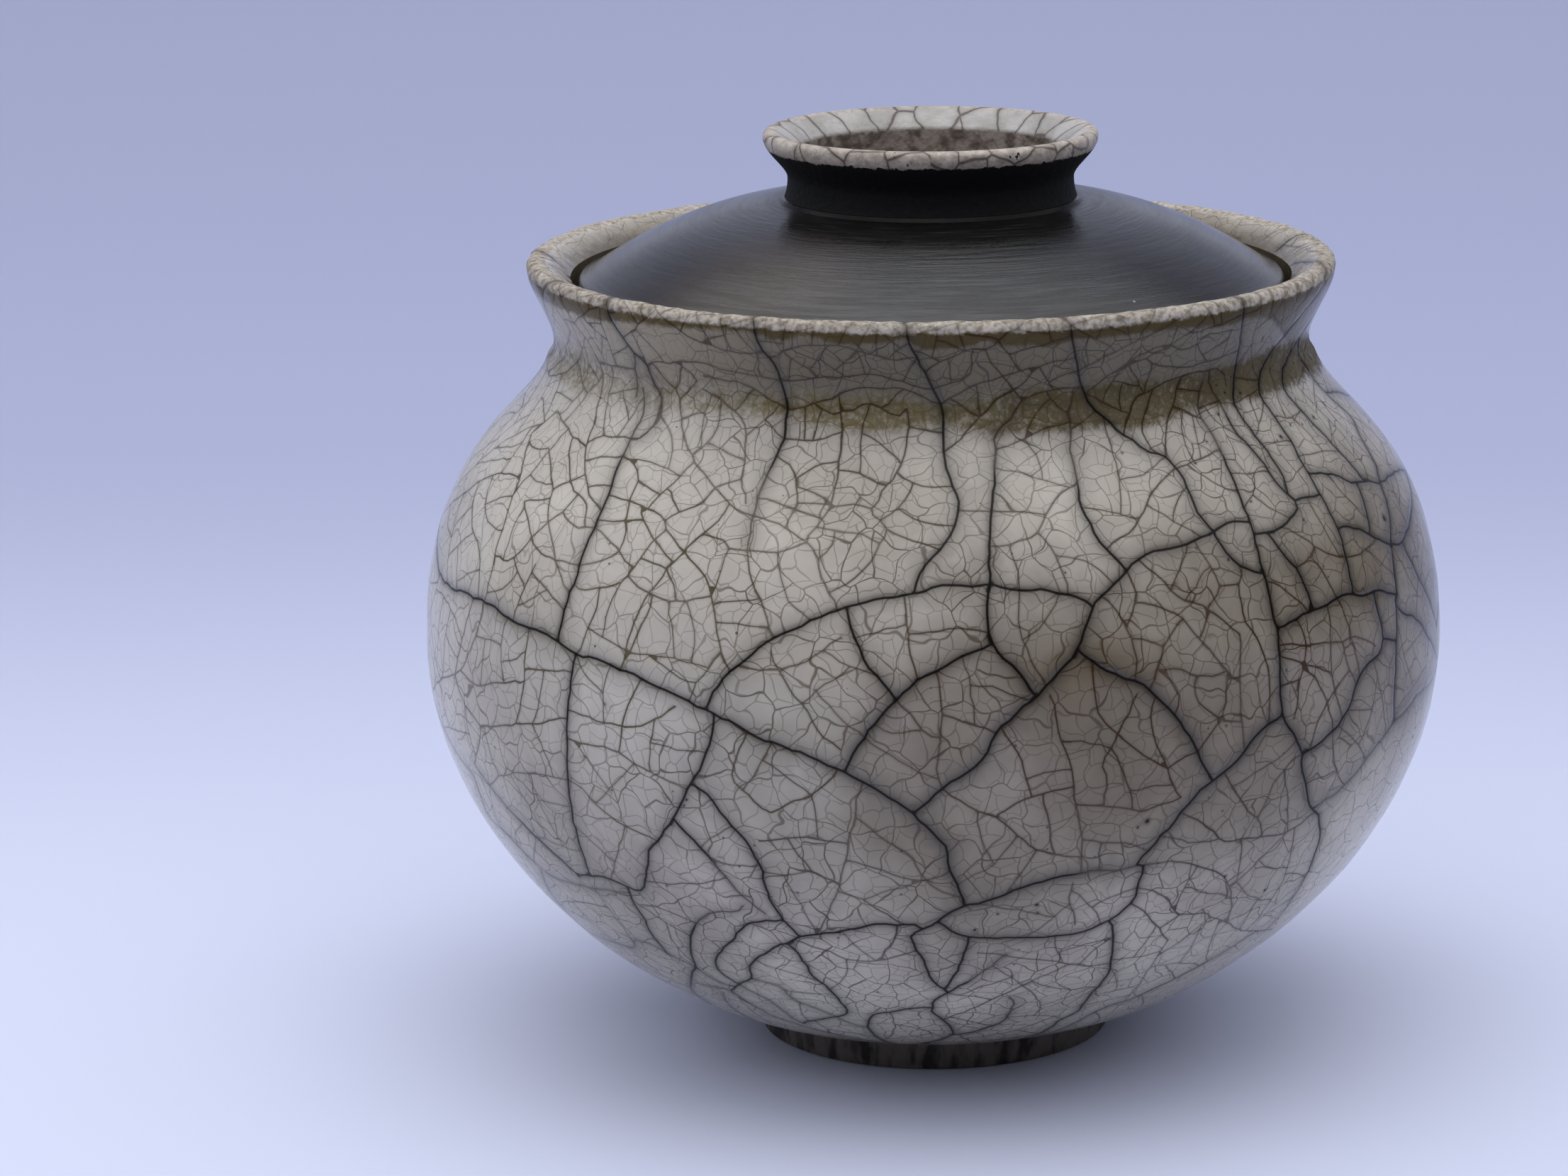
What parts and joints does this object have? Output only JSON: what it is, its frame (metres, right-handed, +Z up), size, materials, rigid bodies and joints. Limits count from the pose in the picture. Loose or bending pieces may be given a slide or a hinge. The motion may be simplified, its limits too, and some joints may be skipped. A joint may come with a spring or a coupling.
{
  "type": "raku lidded jar",
  "caption": "Round-bellied ceramic jar with a flared rim and a foot ring, closed by a loose domed lid with a hollow collar knob; it stands free and holds small things.",
  "frame": {"origin": "centre of the foot ring on the table", "axes": "+Z up along the turning axis, -Y towards the viewer of the picture"},
  "size_m": [0.19, 0.19, 0.1708],
  "materials": {
    "crackle_glaze": "glossy translucent raku glaze, crackled and smoke-stained",
    "smoked_clay": "bare clay, smoked matt brown-black",
    "burnished_clay": "burnished and carbonised, satin black",
    "knob_clay": "carbonised matt black outside, crackle glaze on the mouth and inside"
  },
  "bodies": {
    "jar": {"jar_body": "crackle_glaze", "foot_ring": "smoked_clay"},
    "lid": {"lid": "burnished_clay", "knob": "knob_clay"}
  },
  "joints": [
    {"name": "lid_lift", "type": "slide", "parent": "jar", "child": "lid", "axis": [0, 0, 1], "range_m": [0, 0.12]}
  ]
}
